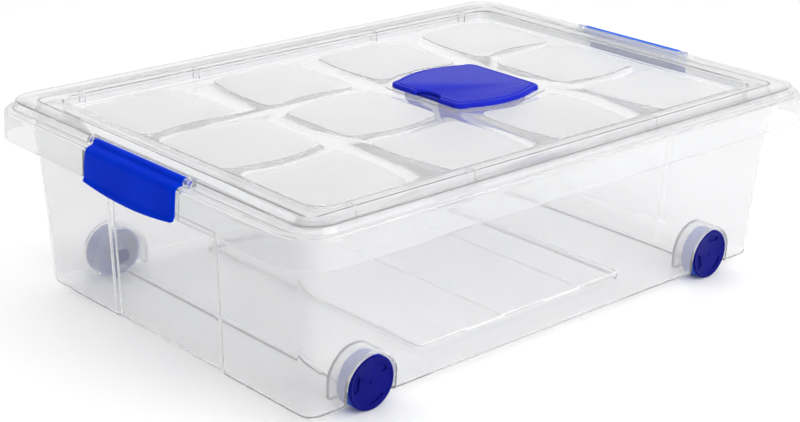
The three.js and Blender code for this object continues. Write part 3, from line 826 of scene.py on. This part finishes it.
def build_lid(clear, panel, frosted):
    rows = []
    for z, half_x, half_y, radius in lid_rows():
        outline = rounded_loop(half_x, half_y, radius, LID_END_STOPS, SIDE_STOPS)
        rows.append(raised(outline, z))
    lid = loft("lid_skin", rows)

    for row in (-1, 0, 1):
        join(lid, [pad(column, row) for column in range(4) if row != 0 or column != CAP_COLUMN])
    join(lid, [curb()])
    hole = cap_loop(TRAY_HOLE)
    cut(lid, [loft("hole", [raised(hole, PANEL_TOP - 3 * WALL), raised(hole, LID_TOP)])])
    join(lid, [gusset(x, side) for x in GUSSETS for side in (-1, 1)])

    cut(lid, [latch_slot(end) for end in (-1, 1)])
    join(lid, [latch_slot_wall(end) for end in (-1, 1)])
    join(lid, [cheek(end, side) for end in (-1, 1) for side in (-1, 1)])
    pin_space = PIN_END + PLAY
    cut(lid, [
        bar(PIN_RADIUS + GAP, end * HINGE_X, HINGE_Z, -pin_space, pin_space) for end in (-1, 1)
    ])
    smooth(lid)
    paint(lid, clear, panel, frosted)
    for polygon in lid.data.polygons:
        x, y, z = polygon.center
        facing_up = polygon.normal.z > 0.7
        if facing_up and abs(x) < PANEL_X and abs(y) < PANEL_Y and z < LID_TOP - WALL:
            on_pad = abs(z - PANEL_TOP - PAD_RISE) < 0.5 * MM
            polygon.material_index = 2 if on_pad else 1
    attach(lid, "lid")
    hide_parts("lid")


# ---------------------------------------------------------------- compartment


def cap_loop(inset):
    """The cap's outline, moved inwards."""
    x, y = CAP_HALF_X - inset, CAP_HALF_Y - inset
    corners = [(CAP_X - x, -y), (CAP_X + x, -y), (CAP_X + x, y), (CAP_X - x, y)]
    corner = max(CAP_CORNER - inset / 2, CAP_LEAST_CORNER)
    return soft_loop(corners, [CAP_BULGE, 0, CAP_BULGE, 0], corner)


def notch_loop(grow):
    """The finger notch in the cap's left edge."""
    x, half_x, half_y = CAP_X - CAP_HALF_X, NOTCH_X + grow, NOTCH_Y + grow
    turns = arc(48, 0, 360)[:-1]
    return [(x + half_x * math.cos(a), NOTCH_MIDDLE + half_y * math.sin(a)) for a in turns]


def build_cap(material):
    bottom = PANEL_TOP + GAP
    rows = [raised(cap_loop(0.5 * MM), bottom), raised(cap_loop(0), bottom + 0.5 * MM)]
    rim_top = CAP_TOP - 0.3 * MM
    for a in arc(7, 0, 90):
        z = rim_top - CAP_EDGE * (1 - math.sin(a))
        rows.append(raised(cap_loop(CAP_EDGE * (1 - math.cos(a))), z))
    rows += [
        raised(cap_loop(GROOVE), rim_top - 0.1 * MM),
        raised(cap_loop(GROOVE + 0.5 * MM), rim_top - GROOVE_DROP),
        raised(cap_loop(GROOVE + 1 * MM), rim_top - GROOVE_DROP),
        raised(cap_loop(GROOVE + 1.7 * MM), CAP_TOP - 0.1 * MM),
        raised(cap_loop(GROOVE + 2.6 * MM), CAP_TOP),
    ]
    cap = loft("compartment_cap_skin", rows)
    plate_bottom = CAP_TOP - CAP_PLATE
    hollow = cap_loop(CAP_HOLLOW)
    cut(cap, [loft("hollow", [raised(hollow, bottom - BITE), raised(hollow, plate_bottom)])])
    plug_top = plate_bottom + BITE
    outer, inner = cap_loop(PLUG_OUTSIDE), cap_loop(PLUG_INSIDE)
    join(cap, [loft("plug", [
        raised(outer, PLUG_BOTTOM), raised(outer, plug_top),
        raised(inner, plug_top), raised(inner, PLUG_BOTTOM),
    ], ring=True)])
    half_soft = 0.35 * NOTCH_SOFT
    cut(cap, [loft("notch", [
        raised(notch_loop(0), bottom - BITE),
        raised(notch_loop(0), CAP_TOP - NOTCH_SOFT),
        raised(notch_loop(half_soft), CAP_TOP - half_soft),
        raised(notch_loop(NOTCH_SOFT), CAP_TOP),
        raised(notch_loop(NOTCH_SOFT), CAP_TOP + BITE),
    ])])
    smooth(cap)
    paint(cap, material)
    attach(cap, "cap")
    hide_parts("compartment_cap")


def build_tray(material):
    flange_bottom = PANEL_TOP + GAP
    flange_top = flange_bottom + FLANGE_THICKNESS
    rows = []
    for a in arc(5, 0, 90):
        z = TRAY_BOTTOM + TRAY_BEND * (1 - math.cos(a))
        rows.append(raised(cap_loop(TRAY_INSET + TRAY_BEND * (1 - math.sin(a))), z))
    rows += [
        raised(cap_loop(TRAY_INSET), flange_bottom),
        raised(cap_loop(FLANGE_INSET + 0.1 * MM), flange_bottom),
        raised(cap_loop(FLANGE_INSET), flange_bottom + 0.5 * MM),
        raised(cap_loop(FLANGE_INSET), flange_top - 0.4 * MM),
        raised(cap_loop(FLANGE_INSET + 0.4 * MM), flange_top),
        raised(cap_loop(TRAY_INSET + TRAY_WALL - 0.5 * MM), flange_top),
        raised(cap_loop(TRAY_INSET + TRAY_WALL), flange_top - 0.5 * MM),
    ]
    inner_bend = TRAY_BEND - TRAY_WALL / 2
    for a in arc(5, 90, 0):
        z = TRAY_BOTTOM + WALL + inner_bend * (1 - math.cos(a))
        rows.append(raised(cap_loop(TRAY_INSET + TRAY_WALL + inner_bend * (1 - math.sin(a))), z))
    tray = loft("scent_tray_skin", rows)
    slots = []
    for i in range(SLOT_COUNT):
        x = CAP_X + SLOT_PITCH * (i - SLOT_COUNT // 2)
        slots.append(block(
            (x - SLOT_HALF_X, -SLOT_HALF_Y, TRAY_BOTTOM - BITE),
            (x + SLOT_HALF_X, SLOT_HALF_Y, TRAY_BOTTOM + 2 * WALL),
            SLOT_ROUND,
        ))
    cut(tray, slots)
    smooth(tray)
    paint(tray, material)
    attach(tray, "lid")
    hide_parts("scent_tray")


# ---------------------------------------------------------------- latches


def latch_section():
    """The right end's latch in section: down its outer face, then back up its inner face."""
    corner_x, corner_z = LATCH_EDGE - SKIRT_DRAFT - RIM_ROUND, RIM_TOP - RIM_ROUND
    outer = LATCH_INNER + LATCH_PLATE
    section = []
    for a in arc(10, 160, 20):
        section.append((HINGE_X + BARREL * math.cos(a), HINGE_Z + BARREL * math.sin(a)))
    section.append((HINGE_X + BARREL + 0.1 * MM, HINGE_Z - 0.2 * MM))
    section.append((corner_x - 0.6 * MM, corner_z + outer + 0.15 * MM))
    for a in arc(7, 85, 0):
        section.append((corner_x + outer * math.cos(a), corner_z + outer * math.sin(a)))
    section.append((LATCH_EDGE + 2.3 * MM, corner_z - 9 * MM))
    for out, up in LATCH_FACE + LATCH_INSIDE:
        section.append((LATCH_EDGE + out * MM, LATCH_BOTTOM + up * MM))
    for a in arc(6, 0, 90):
        section.append((corner_x + LATCH_INNER * math.cos(a), corner_z + LATCH_INNER * math.sin(a)))
    section.append((HINGE_X, corner_z + LATCH_INNER))
    for a in arc(5, 262, 170):
        section.append((HINGE_X + BARREL * math.cos(a), HINGE_Z + BARREL * math.sin(a)))
    return section


def latch_stations():
    """Where the section stands along Y, and how far it is drawn in there to soften the ends."""
    ends = []
    for a in arc(4, 0, 90):
        ends.append((-LATCH_Y + LATCH_SOFT * (1 - math.cos(a)), LATCH_SOFT * (1 - math.sin(a))))
    middle = [(y * LATCH_Y, 0.0) for y in (-0.8, -0.6, -0.4, -0.2, 0, 0.2, 0.4, 0.6, 0.8)]
    return ends + middle + [(-y, inset) for y, inset in reversed(ends)]


def build_latch(name, end, face, inside):
    """The section swept across the latch, bowed along its lower edge, with softened ends."""
    section = latch_section()
    rows = []
    for y, inset in latch_stations():
        row = []
        for (x, z), (px, pz) in zip(section, inset_loop(section, -inset)):
            share = (y / LATCH_Y) ** 2
            lift = max(0.0, 1 - (z - LATCH_BOTTOM) / LATCH_BOW_HEIGHT)
            down = min(1, max(0, (HINGE_Z + BARREL - z) / LATCH_FLARE_HEIGHT))
            wide = 1 + LATCH_FLARE * math.sin(math.pi * down)
            row.append((px, y * wide, pz + LATCH_BOW * share * lift))
        rows.append(row)
    latch = loft(name, rows)
    join(latch, [bar(PIN_RADIUS, HINGE_X, HINGE_Z, -PIN_END, PIN_END, 24)])
    join(latch, [block(
        (LATCH_EDGE - CATCH_REACH, -CATCH_HALF_Y, CATCH_TOP - CATCH_THICKNESS),
        (RIM_X + CATCH_PAST, CATCH_HALF_Y, CATCH_TOP),
    )])
    if end < 0:
        for vertex in latch.data.vertices:
            vertex.co.x, vertex.co.y = -vertex.co.x, -vertex.co.y
    smooth(latch, 40)
    paint(latch, face, inside)
    # Faces turned into the box and downwards get the lighter blue, a painted glow of light through
    # the plastic.
    for polygon in latch.data.polygons:
        faces_in = end * polygon.normal.x < -0.3
        faces_down = end * polygon.center.x < RIM_X and polygon.normal.z < -0.3
        if faces_in or faces_down:
            polygon.material_index = 1
    return latch


# ---------------------------------------------------------------- wheels


def turned(name, profile, steps=72):
    """A closed profile of (radius, y) turned about the Y axis."""
    rows = []
    for radius, y in profile:
        rows.append([(a, y, b) for a, b in circle(radius, steps)])
    return loft(name, rows)


def wheel_profile():
    """From the middle of the face, round the tread, to the bottom of the axle's bore."""
    r = WHEEL_RADIUS
    dish, face, tread_edge, rim, hub = 0.9 * MM, 3 * MM, 1.4 * MM, 2.6 * MM, 6.5 * MM
    bore, head, head_start, head_end = AXLE_HOLE, 3.8 * MM, 6.4 * MM, 4 * MM
    middle = 0.2 * MM
    profile = [(middle, 0.2 * MM), (1.3 * MM, 0.25 * MM), (1.7 * MM, dish), (r - 3.6 * MM, dish)]
    profile += [(r - 2.9 * MM, 0.7 * MM), (r - 2.4 * MM, 0.15 * MM), (r - 2.0 * MM, 0)]
    for a in arc(5, 0, 90):
        profile.append((r - tread_edge * (1 - math.sin(a)), tread_edge * (1 - math.cos(a))))
    profile += [(r, WHEEL_WIDTH - FINE), (r - FINE, WHEEL_WIDTH), (r - rim, WHEEL_WIDTH)]
    profile += [(r - rim, face), (hub, face), (hub, WHEEL_WIDTH), (bore, WHEEL_WIDTH)]
    profile += [(bore, head_start), (head, head_start), (head, head_end), (middle, head_end)]
    return profile


def arc_pocket(turn):
    """A shallow curved pocket in the wheel's face."""
    middle, half, depth, span = 15.2 * MM, 2.4 * MM, 2 * MM, 26
    outline = []
    for radius, reach in ((middle + half, span), (middle - half, -span * 0.8)):
        for a in arc(10, turn - reach, turn + reach):
            outline.append((radius * math.cos(a), radius * math.sin(a)))
    return across(outline, -BITE, depth)


def build_wheel(name, end, side, face, tread, turn):
    wheel = turned(name, wheel_profile())
    cut(wheel, [arc_pocket(turn + 120 * k) for k in range(3)])
    for vertex in wheel.data.vertices:
        x, y, z = vertex.co
        vertex.co = (-side * x + end * WHEEL_X, side * (WHEEL_FACE_Y - y), z + WHEEL_RADIUS)
    smooth(wheel, 35)
    paint(wheel, face, tread)
    # Faces behind the wheel's face get the lighter blue, a painted glow of light through the thin
    # plastic.
    for polygon in wheel.data.polygons:
        if side * polygon.center.y < WHEEL_FACE_Y - 2 * MM:
            polygon.material_index = 1
    return wheel


# ---------------------------------------------------------------- studio

FLOOR_HALF = 9
FLOOR_CORNER = 4
FLOOR_DEPTH = 0.02
FLOOR_DARK = (0.96, 0.96, 0.96)
FLOOR_LIGHT = (0.98, 0.98, 0.98)

WORLD_FRONT = 0.4
WORLD_BACK = 0.84
WORLD_TOWARDS = (0.85, 0.5, 0.25)

# Name, place, the point it is aimed at, size and power.
LIGHTS = [
    ("top_softbox", (0.15, 0.2, 3), (0, 0, 0), 5.2, 53),
    ("key_softbox", (0.1, -1.6, 0.75), (0.1, 0, 0.1), 1.2, 17),
    ("back_softbox", (-0.8, 1.9, 1.6), (0, 0, 0.1), 1.2, 3),
]

CAMERA_AZIMUTH = -43.11
CAMERA_ELEVATION = 20.61
CAMERA_ROLL = 1.49
CAMERA_DISTANCE = 1.5321
CAMERA_TARGET = (-0.01524, 0, 0.06471)
CAMERA_LENS = 77.94
CAMERA_SENSOR = 36


def build_floor():
    outline = rounded_loop(FLOOR_HALF, FLOOR_HALF, FLOOR_CORNER)
    floor = loft("studio_floor", [raised(outline, -FLOOR_DEPTH), raised(outline, 0)])
    material, shader = new_material("pale_floor")
    _, links = links_of(material)
    color = tinted(material, noise(material, scale=3, detail=2), FLOOR_DARK, FLOOR_LIGHT)
    links.new(color, shader.inputs["Base Color"])
    shader.inputs["Roughness"].default_value = 0.6
    shader.inputs["Specular IOR Level"].default_value = 0.1
    paint(floor, material)


def build_world():
    """A white surround that is brighter behind the box, as seen by the camera."""
    world = bpy.data.worlds.new("studio")
    world.use_nodes = True
    nodes, links = world.node_tree.nodes, world.node_tree.links
    direction = nodes.new("ShaderNodeTexCoord")
    towards_back = nodes.new("ShaderNodeVectorMath")
    towards_back.operation = "DOT_PRODUCT"
    towards_back.inputs[1].default_value = Vector(WORLD_TOWARDS).normalized()
    glow = nodes.new("ShaderNodeMapRange")
    glow.inputs["From Min"].default_value = -1
    glow.inputs["From Max"].default_value = 1
    glow.inputs["To Min"].default_value = WORLD_FRONT
    glow.inputs["To Max"].default_value = WORLD_BACK
    links.new(direction.outputs["Generated"], towards_back.inputs[0])
    links.new(towards_back.outputs["Value"], glow.inputs["Value"])
    links.new(glow.outputs["Result"], nodes["Background"].inputs["Strength"])
    nodes["Background"].inputs["Color"].default_value = (1, 1, 1, 1)
    bpy.context.scene.world = world


def add_light(name, place, target, size, power):
    data = bpy.data.lights.new(name, "AREA")
    data.shape = "SQUARE"
    data.size = size
    data.energy = power
    light = bpy.data.objects.new(name, data)
    light.location = place
    light.rotation_euler = (Vector(target) - Vector(place)).to_track_quat("-Z", "Y").to_euler()
    bpy.context.scene.collection.objects.link(light)


def build_camera():
    """A long lens looking down along the box from its left front corner."""
    azimuth, elevation = math.radians(CAMERA_AZIMUTH), math.radians(CAMERA_ELEVATION)
    back = Vector((
        math.sin(azimuth) * math.cos(elevation),
        -math.cos(azimuth) * math.cos(elevation),
        math.sin(elevation),
    ))
    data = bpy.data.cameras.new("camera")
    data.sensor_width = CAMERA_SENSOR
    data.lens = CAMERA_LENS
    camera = bpy.data.objects.new("camera", data)
    camera.location = Vector(CAMERA_TARGET) + back * CAMERA_DISTANCE
    aim = back.to_track_quat("Z", "Y").to_matrix().to_4x4()
    roll = Matrix.Rotation(math.radians(CAMERA_ROLL), 4, "Z")
    camera.rotation_euler = (aim @ roll).to_euler()
    bpy.context.scene.collection.objects.link(camera)
    bpy.context.scene.camera = camera


# ---------------------------------------------------------------- the object

# Clear plastics: milky share, roughness, colour. Pads are milkier than the flat walls; the whiter
# edge copy is a painted highlight on the bands where the moulding turns.
clear = clear_plastic("clear_polypropylene", 0.09, 0.06, (0.905, 0.906, 0.911))
edge = clear_plastic("clear_painted_highlight", 0.6, 0.3, (1.0, 1.0, 1.0))
lid_clear = clear_plastic("clear_lid", 0.08, 0.04, (0.955, 0.957, 0.962))
panel = clear_plastic("clear_panel", 0.26, 0.06, (0.945, 0.947, 0.955))
frosted = clear_plastic("frosted_pad", 0.5, 0.4, (0.9, 0.902, 0.907))

# Blues: darkest and lightest colour, roughness, gloss, tint of the gloss.
# The insides of latches and wheels are lighter, a painted glow for the light that comes through the
# thin plastic.
# The tray's blue is darker than the cap's: painted shade for the ledge seen through the cap's notch.
tray_blue_painted_shade = solid_plastic(
    "tray_blue_painted_shade", (0.004, 0.01, 0.26), (0.006, 0.014, 0.32), 0.3, 0.1, (0.3, 0.4, 1.0))
cap_blue = solid_plastic(
    "cap_blue", (0.012, 0.018, 0.46), (0.016, 0.026, 0.54), 0.28, 0.06, (0.25, 0.35, 1.0))
latch_blue = solid_plastic(
    "latch_blue", (0.0, 0.024, 0.54), (0.0, 0.032, 0.64), 0.32, 0.02, (0.05, 0.3, 1.0))
latch_painted_glow = solid_plastic(
    "latch_blue_painted_glow", (0.02, 0.17, 0.9), (0.03, 0.2, 1.0), 0.4, 0.02, (0.05, 0.3, 1.0))
wheel_blue = solid_plastic(
    "wheel_blue", (0.003, 0.004, 0.12), (0.005, 0.006, 0.17), 0.32, 0.06, (0.5, 0.5, 1.0))
wheel_painted_glow = solid_plastic(
    "wheel_painted_glow", (0.008, 0.05, 0.38), (0.012, 0.065, 0.46), 0.4, 0.1, (0.5, 0.5, 1.0))

build_body(clear, edge)
build_lid(lid_clear, panel, frosted)
build_tray(tray_blue_painted_shade)
build_cap(cap_blue)

for end_name, end in ENDS.items():
    latch = build_latch(f"latch_{end_name}_skin", end, latch_blue, latch_painted_glow)
    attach(latch, f"{end_name}_latch")
    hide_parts(f"latch_{end_name}")

POCKET_TURN = {"left": 50, "right": 75}  # degrees that the wheels stand turned by
for end_name, end in ENDS.items():
    for side_name, side in SIDES.items():
        place = f"{end_name}_{side_name}"
        turn = POCKET_TURN[end_name]
        wheel = build_wheel(f"wheel_{place}_skin", end, side, wheel_blue, wheel_painted_glow, turn)
        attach(wheel, f"{place}_wheel")
        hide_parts(f"wheel_{place}")
        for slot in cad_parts[f"axle_{place}"].material_slots:
            slot.material = wheel_blue

build_floor()
build_world()
for name, place, target, size, power in LIGHTS:
    add_light(name, place, target, size, power)
build_camera()

scene = bpy.context.scene
scene.view_settings.view_transform = "Standard"
scene.cycles.max_bounces = 24
scene.cycles.transmission_bounces = 24
scene.cycles.transparent_max_bounces = 48
